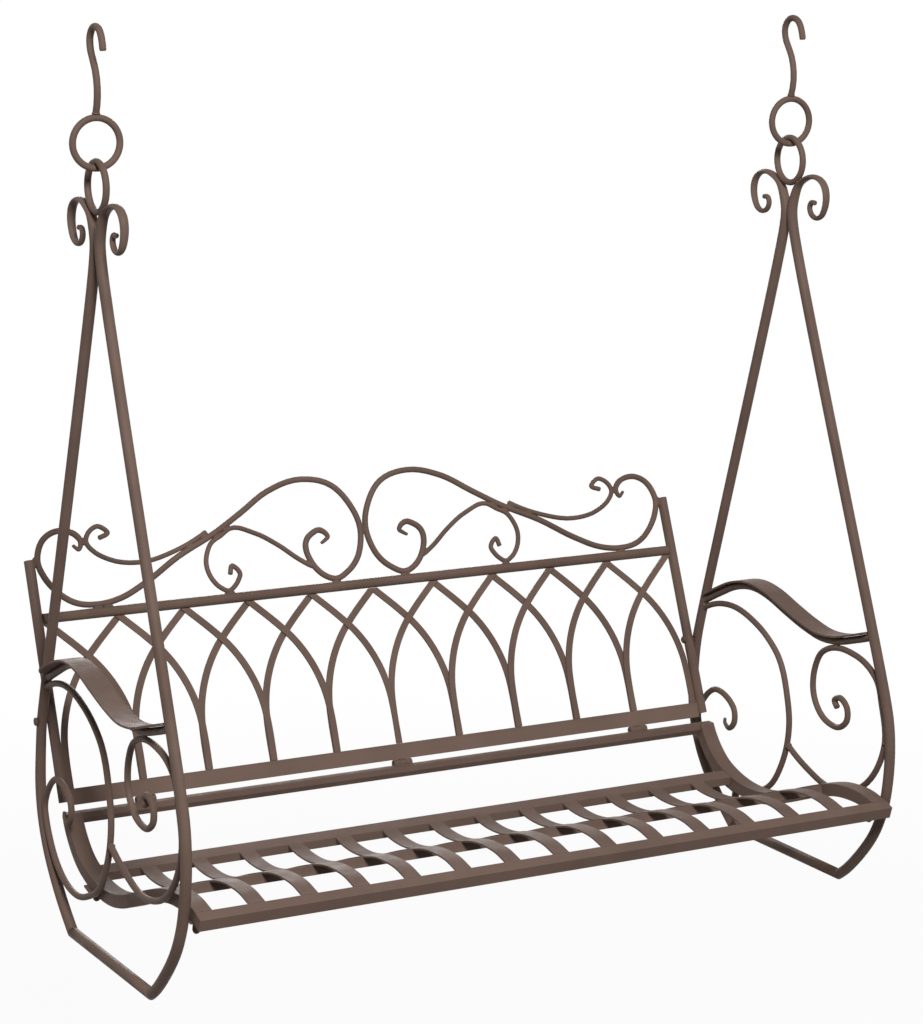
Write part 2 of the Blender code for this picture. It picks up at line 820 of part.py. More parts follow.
slat_path = []
slat_end = middle_point - middle_along * gap
for point in seat_path:
    if point.x < slat_end.x - gap:
        slat_path.append(point)
slat_path.append(slat_end)
slat_outline = band(slat_path, slat_thickness, tilt_normal)
bar_point, bar_along, bar_normal = under_seat(seat_edge.x + cross_bar_share * seat_depth,
                                              (slat_thickness + cross_bar_height) / 2)
slats = box('seat_slats', (between_rails, cross_bar_depth, cross_bar_height),
            side_plane(bar_point), turned(bar_along))
slat = sheet('slat', slat_outline, slat_width / 2, to_side)
slat_pitch = (between_rails - slat_width - 2 * slat_end_gap) / (slat_count - 1)
row = bmesh.new()
for number in range(slat_count):
    start = len(row.verts)
    row.from_mesh(slat.data)
    row.verts.ensure_lookup_table()
    shift = (number - (slat_count - 1) / 2) * slat_pitch
    bmesh.ops.translate(row, vec=(shift, 0, 0), verts=row.verts[start:])
row.to_mesh(slat.data)
row.free()
combine(slats, slat, 'UNION')
in_bench(slats, strip_coat, round_shape=False)


# Rear rail with the outer knuckles of the three hinges

rear_rail_centre = Vector((0, seat_rear - rear_rail_depth / 2, seat_rear_top - rear_rail_height / 2))
rear_rail = box('seat_rear_rail', (between_rails, rear_rail_depth, rear_rail_height),
                rear_rail_centre)
pin_point = Vector((0, seat_rear + gap + knuckle_radius, seat_rear_top))
hinge_reach = between_rails / 2 - hinge_inset
hinge_places = (('left', -hinge_reach), ('centre', 0), ('right', hinge_reach))
knuckle_step = knuckle_length + gap
leaf_height = (leaf_bottom_share - leaf_top_share) * knuckle_radius
leaf_drop = (leaf_bottom_share + leaf_top_share) / 2 * knuckle_radius
leaf_depth = knuckle_radius + gap + rear_rail_depth / 2
for place, reach in hinge_places:
    for shift in (-knuckle_step, knuckle_step):
        centre = pin_point + Vector((reach + shift, 0, 0))
        leaf_centre = centre - Vector((0, leaf_depth / 2, leaf_drop))
        leaf = box('leaf', (leaf_width_share * knuckle_length, leaf_depth, leaf_height),
                   leaf_centre)
        combine(rear_rail, leaf, 'UNION')
        knuckle = cylinder('knuckle', knuckle_radius, knuckle_length, centre, along_x,
                           sides=knuckle_sides)
        combine(rear_rail, knuckle, 'UNION')
    drill = cylinder('drill', hinge_pin_radius + gap, 3 * knuckle_length + overrun,
                     pin_point + Vector((reach, 0, 0)), along_x, sides=wire_sides)
    combine(rear_rail, drill, 'DIFFERENCE')
    pin = cylinder('hinge_pin_' + place, hinge_pin_radius, 2 * knuckle_step + knuckle_length,
                   pin_point + Vector((reach, 0, 0)), along_x, sides=wire_sides)
    in_bench(pin, bolt_coat)
in_bench(rear_rail, strip_coat, round_shape=False)


# Back: its own frame stands on the hinge line and leans to meet the bolts in the hangers

post_reach = frame_half_spacing - hanger_radius - gap - post_radius
back_up = Vector((back_bolt_point.x - pin_point.y, back_bolt_point.y - pin_point.z))
back_lean = math.atan2(back_up.x, back_up.y)
back_line = empty('back_hinge_line', pin_point - bench_pivot.location, bench_pivot)
back_line.rotation_euler = (-back_lean, 0, 0)
rail_foot = knuckle_radius + gap
rail_top = rail_foot + bottom_rail_width
rail_end = post_reach - post_radius - gap


def in_back(made, look, location=(0, 0, 0), round_shape=True):
    """Place a piece in the frame of the leaning back."""
    return finish(made, look, back_line, Vector(location), round_shape)


upright = Matrix.Identity(4)
post = cylinder('back_post', post_radius, post_height - post_foot,
                (0, 0, (post_height + post_foot) / 2), upright)
drill = cylinder('drill', bolt_radius + bolt_clearance, 2 * (post_radius + overrun),
                 (0, 0, back_up.length), along_x)
combine(post, drill, 'DIFFERENCE')
for side, sign, pivot in sides:
    in_back(copy_of(post, 'back_post_' + side), rod_coat, (sign * post_reach, 0, 0))
bpy.data.objects.remove(post)

for side, sign, pivot in sides:
    outer = frame_half_spacing + hanger_radius + gap
    inner = post_reach - post_radius - gap
    bolt = cylinder('back_bolt_' + side, bolt_radius, outer - inner + bolt_head_height,
                    (sign * (outer + inner) / 2, 0, 0), along_x)
    for face in (outer + bolt_head_height / 2, inner - bolt_head_height / 2):
        head = cylinder('head', bolt_head_radius, bolt_head_height, (sign * face, 0, 0), along_x,
                        sides=6)
        combine(bolt, head, 'UNION')
    in_back(bolt, bolt_coat, (0, 0, back_up.length))

bottom_rail = box('back_bottom_rail', (2 * rail_end, bottom_rail_thickness, bottom_rail_width),
                  (0, 0, rail_foot + bottom_rail_width / 2))
for place, reach in hinge_places:
    leaf = box('leaf', (leaf_width_share * knuckle_length, leaf_share * bottom_rail_thickness,
                        rail_foot + bottom_rail_width / 2),
               (reach, 0, (rail_foot + bottom_rail_width / 2) / 2))
    combine(bottom_rail, leaf, 'UNION')
    knuckle = cylinder('knuckle', knuckle_radius, knuckle_length, (reach, 0, 0), along_x,
                       sides=knuckle_sides)
    combine(bottom_rail, knuckle, 'UNION')
    drill = cylinder('drill', hinge_pin_radius + gap, 3 * knuckle_length + overrun,
                     (reach, 0, 0), along_x, sides=wire_sides)
    combine(bottom_rail, drill, 'DIFFERENCE')
in_back(bottom_rail, strip_coat, round_shape=False)

top_rail = cylinder('back_top_rail', top_rail_radius, 2 * rail_end, (0, 0, top_rail_height),
                    along_x)
in_back(top_rail, rod_coat)


# Interlaced pointed arches: each foot sends a strip to the apex on either side of it

arch_foot = rail_top + gap
arch_top = top_rail_height - top_rail_radius - gap
half_count = bay_count // 2
end_foot = rail_end - arch_width / 2
bay = (end_foot - end_bay) / (half_count - 1)
arc_side = arch_radius * (1 - math.cos(arch_turn))
arc_rise = arch_radius * math.sin(arch_turn)
layer = arch_thickness / 2 + gap / 2


def arch_strip(foot_reach, direction, apex_distance):
    """One strip from a foot, curving towards +X or -X and running on past its apex."""
    straight_run = (apex_distance - arc_side) / math.sin(arch_turn)
    shank = arch_top - arch_foot - arc_rise - straight_run * math.cos(arch_turn)
    edges = []
    for half in (-arch_width / 2, arch_width / 2):
        edge = [Vector((half, arch_foot))]
        for step in range(arc_steps + 1):
            angle = arch_turn * step / arc_steps
            radius = arch_radius - half
            edge.append(Vector((arch_radius - radius * math.cos(angle),
                                arch_foot + shank + radius * math.sin(angle))))
        run = straight_run + overrun
        edge.append(edge[-1] + Vector((math.sin(arch_turn), math.cos(arch_turn))) * run)
        edges.append(edge)
    outline = edges[0] + edges[1][::-1]
    outline = [Vector((foot_reach + direction * point.x, point.y)) for point in outline]
    strip = sheet('strip', outline, arch_thickness / 2, to_back)
    cut_plane(strip, (0, 0, arch_top), (0, 0, 1))
    cut_plane(strip, (rail_end, 0, 0), (1, 0, 0))
    cut_plane(strip, (-rail_end, 0, 0), (-1, 0, 0))
    return strip


for number in range(-half_count, half_count + 1):
    foot_reach = number * bay
    if abs(number) == half_count:
        foot_reach = math.copysign(end_foot, number)
    strips = []
    for direction in (-1, 1):
        if abs(number + direction) > half_count:
            continue
        outward = number * direction > 0 or number == 0
        at_end = half_count in (abs(number), abs(number + direction))
        strip = arch_strip(foot_reach, direction, end_bay if at_end else bay)
        strip.data.transform(Matrix.Translation((0, -layer if outward else layer, 0)))
        if not outward and abs(number) == 1:
            side = 1 if number > 0 else -1
            cut_plane(strip, (side * gap / 2, 0, 0), (-side, 0, 0))
        strips.append(strip)
    arch = strips[0]
    if len(strips) == 2:
        if number != 0:
            weld = box('weld', (arch_width / 2, arch_thickness, arch_weld_height),
                       (foot_reach, 0, arch_foot + arch_weld_height))
            combine(arch, weld, 'UNION')
        combine(arch, strips[1], 'UNION')
    arch.name = 'back_arch_%02d' % (number + half_count + 1)
    in_back(arch, strip_coat, round_shape=False)


# Crest scrolls on the top rail

crest_half_width = rail_end
crest_base = top_rail_height + top_rail_radius
crest_floor = crest_base + gap + crest_radius
small_floor = crest_base + gap + crest_small_radius

main_knots = [crest_point(share) for share in crest_tip_shares]
main_knots.append(Vector((crest_foot_share * crest_half_width, crest_floor)))
main_knots += [crest_point(share) for share in crest_inner_shares]
main_knots.append(Vector((crest_radius + gap / 2, crest_base + crest_middle_share * crest_height)))
main_knots += [crest_point(share) for share in crest_outer_shares]
main_knots.append(Vector((crest_trough_share * crest_half_width, crest_floor)))
main_knots += [crest_point(share) for share in crest_end_shares]
main_knots.append(Vector((crest_half_width - crest_radius,
                          crest_base + crest_post_share * crest_height)))
main_knots += [crest_point(share) for share in crest_curl_shares]
main_path = []
for point in smooth(main_knots, crest_turn_step):
    reach = min(max(point.x, crest_radius + gap / 2), crest_half_width - crest_radius)
    main_path.append(Vector((reach, max(point.y, crest_floor))))

small_distance = crest_radius + crest_small_radius + gap
upper_knots = [rest_on(crest_point(upper_start_share), main_path, small_distance)]
upper_knots += [crest_point(share) for share in upper_shares]
upper_knots.append(rest_on(crest_point(upper_rest_share), main_path, small_distance))
upper_knots += [crest_point(share) for share in upper_curl_shares]
upper_path = held_clear(smooth(upper_knots, crest_turn_step), main_path, small_distance)

lower_guess = crest_point(lower_start_share)
lower_knots = [nearest(main_path, lower_guess)[0]]
lower_knots += [crest_point(share) for share in lower_shares]
lower_knots.append(rest_on(crest_point(lower_crown_share), main_path, small_distance))
lower_knots += [crest_point(share) for share in lower_curl_shares]
lower_knots.append(Vector((lower_foot_share * crest_half_width, small_floor)))
lower_knots += [crest_point(share) for share in lower_end_shares]
lower_path = smooth(lower_knots, crest_turn_step)
lower_path = [Vector((point.x, max(point.y, small_floor))) for point in lower_path]
free_from = smooth(lower_knots[:3], crest_turn_step)
held = len(free_from) - 1
lower_path = lower_path[:held] + held_clear(lower_path[held:], main_path, small_distance)

for base, path, radius in (('crest_scroll_main', main_path, crest_radius),
                           ('crest_scroll_upper', upper_path, crest_small_radius),
                           ('crest_scroll_lower', lower_path, crest_small_radius)):
    for side, sign, pivot in sides:
        piece = rod('%s_%s' % (base, side), mirrored(path, sign), radius, back_plane,
                    scroll_tip_share)
        if base == 'crest_scroll_lower':
            end, inner = mirrored([lower_guess, crest_point(lower_shares[1])], sign)
            butt(piece, mirrored(main_path, sign), end, crest_radius + gap, inner, back_plane)
        in_back(piece, rod_coat)


# Scrolls and armrest of the side frames

scroll_distance = hanger_radius + scroll_radius + gap

support_rear = nearest(rear_sweep, frame_point(support_rear_share))[0]
support_front = nearest(front_sweep, frame_point(support_front_share))[0]
support_knots = [support_rear]
support_knots += [frame_point(share) for share in support_middle_shares]
support_knots.append(support_front)
support_path = smooth(support_knots, scroll_turn_step / 2)
inside = Vector((0, (support_rear.y + support_front.y) / 2))

support = rod('armrest_support', support_path, support_radius, side_plane)
butt(support, rear_sweep, support_rear, hanger_radius + gap, inside)
butt(support, front_sweep, support_front, hanger_radius + gap, inside)
both_sides(support, rod_coat, 'armrest_support')

armrest_path = []
lift = support_radius + gap + armrest_thickness
for index, point in enumerate(support_path):
    before = support_path[max(index - 1, 0)]
    after = support_path[min(index + 1, len(support_path) - 1)]
    along = (before - after).normalized()
    armrest_path.append(point + Vector((-along.y, along.x)) * lift)
armrest_path = armrest_path[::-1]
armrest = sheet('armrest', band(armrest_path, armrest_thickness), armrest_width / 2, to_side)
butt(armrest, rear_sweep, armrest_path[-1], hanger_radius + gap, inside)
butt(armrest, front_sweep, armrest_path[0], hanger_radius + gap, inside)
for sign, end in ((1, armrest_path[-1]), (-1, armrest_path[0])):
    corner = Vector((armrest_end_width - armrest_width / 2, end.x, 0))
    slant = Vector((armrest_nose, sign * (armrest_width - armrest_end_width), 0))
    cut_plane(armrest, corner, slant)
for side, sign, pivot in sides:
    piece = new_object('armrest_' + side, armrest.data.copy())
    if sign < 0:
        piece.data.transform(Matrix.Scale(-1, 4, (1, 0, 0)))
        piece.data.flip_normals()
    armrest_middle = frame_half_spacing - armrest_inset + armrest_width / 2
    in_bench(piece, strip_coat, (sign * armrest_middle, 0, 0), round_shape=False)
bpy.data.objects.remove(armrest)

rear_scroll_start = nearest(rear_sweep, frame_point(rear_scroll_start_share))[0]
rear_scroll_knots = [rear_scroll_start]
rear_scroll_knots += [frame_point(share) for share in rear_scroll_upper_shares]
rear_scroll_knots += [frame_point(share) for share in rear_scroll_lower_shares]
rear_scroll_knots.append(rest_on(frame_point(rear_scroll_rest_share), rear_sweep,
                                 scroll_distance))
rear_scroll_knots += [frame_point(share) for share in rear_scroll_curl_shares]
rear_scroll_path = smooth(rear_scroll_knots, scroll_turn_step)
free_count = len(smooth(rear_scroll_knots[:4], scroll_turn_step)) - 1
rear_scroll_path = (rear_scroll_path[:free_count]
                    + held_clear(rear_scroll_path[free_count:], rear_sweep, scroll_distance))
rear_scroll_path = held_clear(rear_scroll_path, support_path,
                              support_radius + scroll_radius + 2 * gap)
rear_scroll = rod('rear_scroll', rear_scroll_path, scroll_radius, side_plane, scroll_tip_share)
butt(rear_scroll, rear_sweep, rear_scroll_start, hanger_radius + gap, inside)
both_sides(rear_scroll, rod_coat, 'rear_scroll')

front_scroll_start = nearest(rear_scroll_path, frame_point(front_scroll_start_share))[0]
front_scroll_knots = [front_scroll_start]
front_scroll_knots += [frame_point(share) for share in front_scroll_lower_shares]
front_scroll_knots.append(rest_on(frame_point(front_scroll_rest_share), front_sweep,
                                  scroll_distance))
front_scroll_knots += [frame_point(share) for share in front_scroll_upper_shares]
front_scroll_knots.append(rest_on(frame_point(front_scroll_crown_share), support_path,
                                  support_radius + scroll_radius + gap))
front_scroll_knots += [frame_point(share) for share in front_scroll_curl_shares]
front_scroll_path = smooth(front_scroll_knots, scroll_turn_step)
front_scroll_path = held_clear(front_scroll_path, front_sweep, scroll_distance)
front_scroll_path = held_clear(front_scroll_path, support_path,
                               support_radius + scroll_radius + gap)
front_scroll = rod('front_scroll', front_scroll_path, scroll_radius, side_plane,
                   scroll_tip_share)
butt(front_scroll, rear_scroll_path, front_scroll_start, scroll_radius + gap,
     frame_point(front_scroll_lower_shares[1]))
both_sides(front_scroll, rod_coat, 'front_scroll')

bpy.data.collections.remove(workshop)
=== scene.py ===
"""Looks of the hanging metal swing bench: its coat, rounded edges, smooth rods, welds and light.

Every piece but the weld beads stands for a node of the frame, in its place and on its body.
All lengths are in metres.
"""

import json
import math
from collections import defaultdict

import bmesh
import bpy
from mathutils import Matrix, Vector, noise
from mathutils.bvhtree import BVHTree

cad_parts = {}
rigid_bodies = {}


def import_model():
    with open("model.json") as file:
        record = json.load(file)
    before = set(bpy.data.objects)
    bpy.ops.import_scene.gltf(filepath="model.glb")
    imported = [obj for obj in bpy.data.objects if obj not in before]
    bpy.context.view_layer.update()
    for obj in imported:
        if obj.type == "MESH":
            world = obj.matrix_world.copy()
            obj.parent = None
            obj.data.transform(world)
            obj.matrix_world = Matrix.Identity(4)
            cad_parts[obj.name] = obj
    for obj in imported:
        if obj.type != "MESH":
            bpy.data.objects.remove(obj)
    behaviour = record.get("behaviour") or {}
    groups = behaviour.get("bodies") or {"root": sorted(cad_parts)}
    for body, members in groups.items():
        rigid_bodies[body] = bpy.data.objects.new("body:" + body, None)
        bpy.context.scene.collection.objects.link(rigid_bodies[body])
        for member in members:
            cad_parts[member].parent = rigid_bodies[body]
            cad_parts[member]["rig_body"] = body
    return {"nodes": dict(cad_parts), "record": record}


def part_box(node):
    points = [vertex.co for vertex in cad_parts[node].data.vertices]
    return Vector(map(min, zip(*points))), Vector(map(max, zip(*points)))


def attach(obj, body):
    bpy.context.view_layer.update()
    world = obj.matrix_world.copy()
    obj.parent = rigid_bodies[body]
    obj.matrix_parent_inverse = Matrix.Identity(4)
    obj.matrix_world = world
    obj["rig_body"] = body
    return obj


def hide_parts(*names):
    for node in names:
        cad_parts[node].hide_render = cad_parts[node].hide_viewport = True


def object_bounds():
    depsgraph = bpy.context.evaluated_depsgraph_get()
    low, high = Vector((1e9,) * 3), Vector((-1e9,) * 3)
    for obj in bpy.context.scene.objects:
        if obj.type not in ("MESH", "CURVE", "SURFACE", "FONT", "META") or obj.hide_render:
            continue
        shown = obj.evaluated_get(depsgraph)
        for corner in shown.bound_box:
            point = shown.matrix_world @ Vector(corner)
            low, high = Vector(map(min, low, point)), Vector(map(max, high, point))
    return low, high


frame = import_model()
cad_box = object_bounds()

# Each slot's material, with its colour, its roughness and how far its edges are rubbed
COAT_LOOKS = {
    "coated_rod": ("coat_rod", (0.158, 0.106, 0.084), 0.48, 0.0),
    "coated_strip": ("coat_strip", (0.156, 0.105, 0.084), 0.54, 0.4),
    "coated_bolts": ("coat_bolts", (0.112, 0.076, 0.060), 0.42, 0.4),
}
SPECULAR_LEVEL = 0.06

# Scale and detail of the noises in a coat, and what is made of them
CLOUDS = (11.0, 6.0)
PATCHES = (45.0, 3.0)
GRAIN = (900.0, 2.0)
CLOUD_RAMP = (0.32, 0.68)
DARKER = 0.86
LIGHTER = 1.12
PATCH_RANGE = (0.3, 0.7)
PATCH_SMOOTHER = 0.06
PATCH_ROUGHER = 0.08
GRAIN_STRENGTH = 0.35
GRAIN_HEIGHT = 0.0003
RUBBED = 1.5
RUBBED_RAMP = (0.52, 0.60)

# Rod radii of the nodes whose names start so
ROD_RADII = {
    "front_hanger": 0.0084, "rear_hanger": 0.0084, "bottom_bar": 0.0084,
    "hook_ring": 0.0052, "link_ring": 0.0052, "hook": 0.0052,
    "armrest_support": 0.006, "front_scroll": 0.005, "rear_scroll": 0.005,
    "crest_scroll_main": 0.005, "crest_scroll_upper": 0.004, "crest_scroll_lower": 0.004,
}
# Rods with mitred corners, whose ends get no beads
MITRED = ("front_hanger", "rear_hanger", "bottom_bar")
# Bent rods that are rebuilt as round rods along their middles, and those whose free curls taper
SWEPT = ("front_scroll", "rear_scroll", "crest_scroll", "armrest_support", "hook_left", "hook_right")
TAPERED = ("front_scroll", "rear_scroll", "crest_scroll")

# The meshes of the nodes
TUBE_SIDES = 8
SIDE_CORNERS = 4
WELD_DISTANCE = 0.00002
KEY_STEP = 4 * WELD_DISTANCE
FLAT_ANGLE = math.radians(0.4)

# Swept rods. A rounded tip has places along it and widths there, as shares of its radius
SWEPT_SIDES = 16
SWEPT_CUTS = 5
CURLED_ANGLE = math.radians(50)
TAPER_LENGTH = 0.034
TAPER_SHARE = 0.52
ROUNDED_TIP = ((0.0, 1.0), (0.28, 0.92), (0.48, 0.72))

# Subdivided rods, and the share of its radius that a tube of eight sides keeps
SMOOTH_LEVELS = 2
JOINED_FACE_ANGLE = math.radians(20)
JOINED_SHAPE_ANGLE = math.radians(70)
CREASE_ANGLE = math.radians(62)
TUBE_SHRINK = 2 / 3 + math.cos(math.radians(45)) / 3

# Strips and bars
SHARP_ANGLE = math.radians(32)
BEND_ANGLE = math.radians(30)
BEND_CUTS = 3
EDGE_RADIUS = 0.0007
EDGE_SEGMENTS = 2
UNDERCUT = 0.0055

# Weld beads: at the ends of rods, and where a bent rod lies against its neighbour
TOUCH_REACH = 0.0014
BEAD_SPREAD = 0.030
END_BEAD_LENGTH = 0.0028
END_BEAD_SHARE = 1.22
SIDE_BEAD_LENGTH = 0.0085
SIDE_BEAD_WIDTH = 0.0036
BEAD_SUBDIVISIONS = 3
BEAD_WAVE = 0.12
BEAD_WAVE_SCALE = 2.5
BEAD_WAVE_SPREAD = 400
TOUCHING = (
    ("crest_scroll_main_left", "crest_scroll_main_right"),
    ("crest_scroll_main_left", "back_top_rail"),
    ("crest_scroll_main_right", "back_top_rail"),
    ("crest_scroll_main_left", "back_post_left"),
    ("crest_scroll_main_right", "back_post_right"),
    ("crest_scroll_upper_left", "crest_scroll_main_left"),
    ("crest_scroll_upper_right", "crest_scroll_main_right"),
    ("crest_scroll_lower_left", "crest_scroll_main_left"),
    ("crest_scroll_lower_right", "crest_scroll_main_right"),
    ("crest_scroll_lower_left", "back_top_rail"),
    ("crest_scroll_lower_right", "back_top_rail"),
    ("front_scroll_left", "front_hanger_left"),
    ("front_scroll_right", "front_hanger_right"),
    ("front_scroll_left", "armrest_support_left"),
    ("front_scroll_right", "armrest_support_right"),
    ("rear_scroll_left", "rear_hanger_left"),
    ("rear_scroll_right", "rear_hanger_right"),
)

# Bolts of the back
FLAT_HEAD_LENGTH = 0.0032
HEAD_ROUNDING = 0.0012
ROUNDING_MIDDLE = 0.3
SHANK_SHARE = 0.62
DOME_WIDTH_SHARE = 0.85
DOME_LENGTH_SHARE = 0.6
DOME_STEPS = 6
TURNED_STEPS = 32

# Camera of the photo, as near to the fitted one as a small shift allows
PHOTO_WIDTH = 923
PHOTO_HEIGHT = 1024
FOCAL_PIXELS = 3024.26
CENTRE_ROW = 330.0
CAMERA_PLACE = (-2.19961, -4.05516, 0.12571)
CAMERA_AZIMUTH = math.radians(28.4234)
CAMERA_PITCH = math.radians(-7.3144)
CAMERA_ROLL = math.radians(0.1329)
SENSOR = 36.0

# Studio. A lamp has a name, a place, a size and a power, and all lamps shine at one point
FLOOR_DROP = 0.30
FLOOR_SIZE = 40.0
FLOOR_CUTS = 4
FLOOR_SHADE = 0.3
FLOOR_WHITE_SHARE = 0.955
FADE_START = 1.2
FADE_END = 3.0
WHITE_STRENGTH = 1.0
AMBIENT = 0.02
LAMP_TARGET = (0, 0, -0.9)
LAMPS = (
    ("key", (-1.5, -4.15, 2.55), 1.4, 290),
    ("fill", (3.9, -1.2, 0.2), 2.5, 24),
    ("side", (-4.2, 1.4, 0.2), 2.5, 24),
    ("back", (1.5, 4.3, 0.3), 2.0, 105),
)


# Materials

def linked_noise(nodes, links, coordinates, scale, detail):
    made = nodes.new("ShaderNodeTexNoise")
    made.inputs["Scale"].default_value = scale
    made.inputs["Detail"].default_value = detail
    links.new(coordinates.outputs["Object"], made.inputs["Vector"])
    return made


def ramp_between(nodes, links, source, places, first, last):
    """A ramp from one colour to another, between two values of its source."""
    ramp = nodes.new("ShaderNodeValToRGB")
    ramp.color_ramp.elements[0].position = places[0]
    ramp.color_ramp.elements[1].position = places[1]
    ramp.color_ramp.elements[0].color = first
    ramp.color_ramp.elements[1].color = last
    links.new(source, ramp.inputs["Fac"])
    return ramp


def times(colour, share):
    return (*(channel * share for channel in colour), 1)


def powder_coat(name, colour, roughness, rubbed_share):
    """A matte powder coat: clouds of tone and gloss, an orange-peel grain and rubbed edges."""
    made = bpy.data.materials.new(name)
    made.use_nodes = True
    nodes, links = made.node_tree.nodes, made.node_tree.links
    shader = nodes["Principled BSDF"]
    shader.inputs["Specular IOR Level"].default_value = SPECULAR_LEVEL
    coordinates = nodes.new("ShaderNodeTexCoord")

    clouds = linked_noise(nodes, links, coordinates, *CLOUDS)
    tone = ramp_between(nodes, links, clouds.outputs["Fac"], CLOUD_RAMP,
                        times(colour, DARKER), times(colour, LIGHTER))

    geometry = nodes.new("ShaderNodeNewGeometry")
    edge = ramp_between(nodes, links, geometry.outputs["Pointiness"], RUBBED_RAMP,
                        (0, 0, 0, 1), (rubbed_share, rubbed_share, rubbed_share, 1))
    mix = nodes.new("ShaderNodeMix")
    mix.data_type = "RGBA"
    links.new(edge.outputs["Color"], mix.inputs["Factor"])
    links.new(tone.outputs["Color"], mix.inputs["A"])
    mix.inputs["B"].default_value = times(colour, RUBBED)
    links.new(mix.outputs["Result"], shader.inputs["Base Color"])

    patches = linked_noise(nodes, links, coordinates, *PATCHES)
    gloss = nodes.new("ShaderNodeMapRange")
    gloss.inputs["From Min"].default_value = PATCH_RANGE[0]
    gloss.inputs["From Max"].default_value = PATCH_RANGE[1]
    gloss.inputs["To Min"].default_value = roughness - PATCH_SMOOTHER
    gloss.inputs["To Max"].default_value = roughness + PATCH_ROUGHER
    links.new(patches.outputs["Fac"], gloss.inputs["Value"])
    links.new(gloss.outputs["Result"], shader.inputs["Roughness"])

    grain = linked_noise(nodes, links, coordinates, *GRAIN)
    bump = nodes.new("ShaderNodeBump")
    bump.inputs["Strength"].default_value = GRAIN_STRENGTH
    bump.inputs["Distance"].default_value = GRAIN_HEIGHT
    links.new(grain.outputs["Fac"], bump.inputs["Height"])
    links.new(bump.outputs["Normal"], shader.inputs["Normal"])
    return made


COATS = {slot: powder_coat(*look) for slot, look in COAT_LOOKS.items()}
SLOTS = {row["node"]: row["material_slot"] for row in frame["record"]["subparts"]}


# Pieces and the nodes that they stand for

def body_of(name):
    return frame["nodes"][name]["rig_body"]


def place_piece(piece, body, slot, stands_for=None):
    """Put a piece on its body, with its coat."""
    piece.data.materials.append(COATS[slot])
    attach(piece, body)
    if stands_for:
        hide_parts(stands_for)
    return piece


def object_from(shape, name):
    """A smooth-shaded object from a bmesh, which is freed."""
    mesh = bpy.data.meshes.new(name)
    shape.to_mesh(mesh)
    shape.free()
    mesh.shade_smooth()
    made = bpy.data.objects.new(name, mesh)
    bpy.context.scene.collection.objects.link(made)
    return made


def node_trees():
    """Each node's mesh, for finding what is near it."""
    depsgraph = bpy.context.evaluated_depsgraph_get()
    return {name: BVHTree.FromObject(node, depsgraph) for name, node in frame["nodes"].items()}


trees = node_trees()
welded_ends = []
pieces = {}


# Reading the nodes

def rod_radius(name):
    for start, radius in ROD_RADII.items():
        if name.startswith(start):
            return radius
    return None


def joined(mesh):
    """A mesh as a bmesh with joined corners."""
    shape = bmesh.new()
    shape.from_mesh(mesh)
    bmesh.ops.remove_doubles(shape, verts=shape.verts, dist=WELD_DISTANCE)
    return shape


def flat_faced(mesh):
    """A mesh as a bmesh with joined corners and no diagonals across flat faces."""
    shape = joined(mesh)
    bmesh.ops.dissolve_limit(shape, angle_limit=FLAT_ANGLE, verts=shape.verts[:],
                             edges=shape.edges[:])
    return shape


def place_key(point):
    """A point on a fine grid, which is the same for points that fall together."""
    return tuple(round(value / KEY_STEP) for value in point)


def tube_of(mesh):
    """A mesh as a bmesh that keeps each ring of a tube, with one face at either end."""
    plain = flat_faced(mesh)
    ends = {place_key(vertex.co) for face in plain.faces if len(face.verts) == TUBE_SIDES
            for vertex in face.verts}
    plain.free()
    shape = joined(mesh)
    within = [edge for edge in shape.edges
              if all(place_key(vertex.co) in ends for face in edge.link_faces
                     for vertex in face.verts)]
    bmesh.ops.dissolve_edges(shape, edges=within)
    return shape


def is_end(face):
    """Whether a face of a tube is its end, which has more corners than its sides have."""
    return len(face.verts) > SIDE_CORNERS


def centre_line(shape):
    """The middles of a tube's rings, from end to end, or None where it isn't one open tube."""
    ends = [face for face in shape.faces if is_end(face)]
    if len(ends) != 2:
        return None
    shape.verts.index_update()
    ring = set(ends[0].verts)
    seen, line = set(ring), []
    while ring:
        if len(ring) != len(ends[0].verts):
            return None
        in_order = sorted(ring, key=lambda vertex: vertex.index)
        line.append(sum((vertex.co for vertex in in_order), Vector()) / len(ring))
        ring = {edge.other_vert(vertex) for vertex in ring for edge in vertex.link_edges} - seen
        seen |= ring
    return line


# Welded ends

def touching_end(name, place):
    """How far the end of a rod is from the nearest other node, or None where it is free."""
    nearest = None
    for other, tree in trees.items():
        if other == name or body_of(other) != body_of(name):
            continue
        distance = tree.find_nearest(place, TOUCH_REACH)[3]
        if distance is not None and (nearest is None or distance < nearest):
            nearest = distance
    return nearest


def close_ends(shape, name):
    """Lengthen a rod's welded ends halfway to its neighbour, and note them for beads."""
    for face in shape.faces:
        if not is_end(face):
            continue
        middle = face.calc_center_median()
        distance = touching_end(name, middle)
        if distance is None:
            continue
        normal = face.normal.copy()
        if not name.startswith(MITRED):
            radius = min((vertex.co - middle).length for vertex in face.verts)
            welded_ends.append((name, middle, normal, radius))
        for vertex in face.verts:
            vertex.co += normal * distance / 2


# Smooth curves

def curve_point(first, start, end, last, share):
    """A point between the two middle knots of four, on a curve that is round through a circle."""
    before, chord, after = start - first, end - start, last - end
    leaving = before.normalized() * chord.length + chord.normalized() * before.length
    arriving = chord.normalized() * after.length + after.normalized() * chord.length
    turn = leaving.angle(arriving, 0)
    reach = chord.length * 2 / (1 + math.cos(turn / 2))
    square, cube = share ** 2, share ** 3
    return (start * (2 * cube - 3 * square + 1)
            + leaving.normalized() * reach * (cube - 2 * square + share)
            + end * (3 * square - 2 * cube)
            + arriving.normalized() * reach * (cube - square))


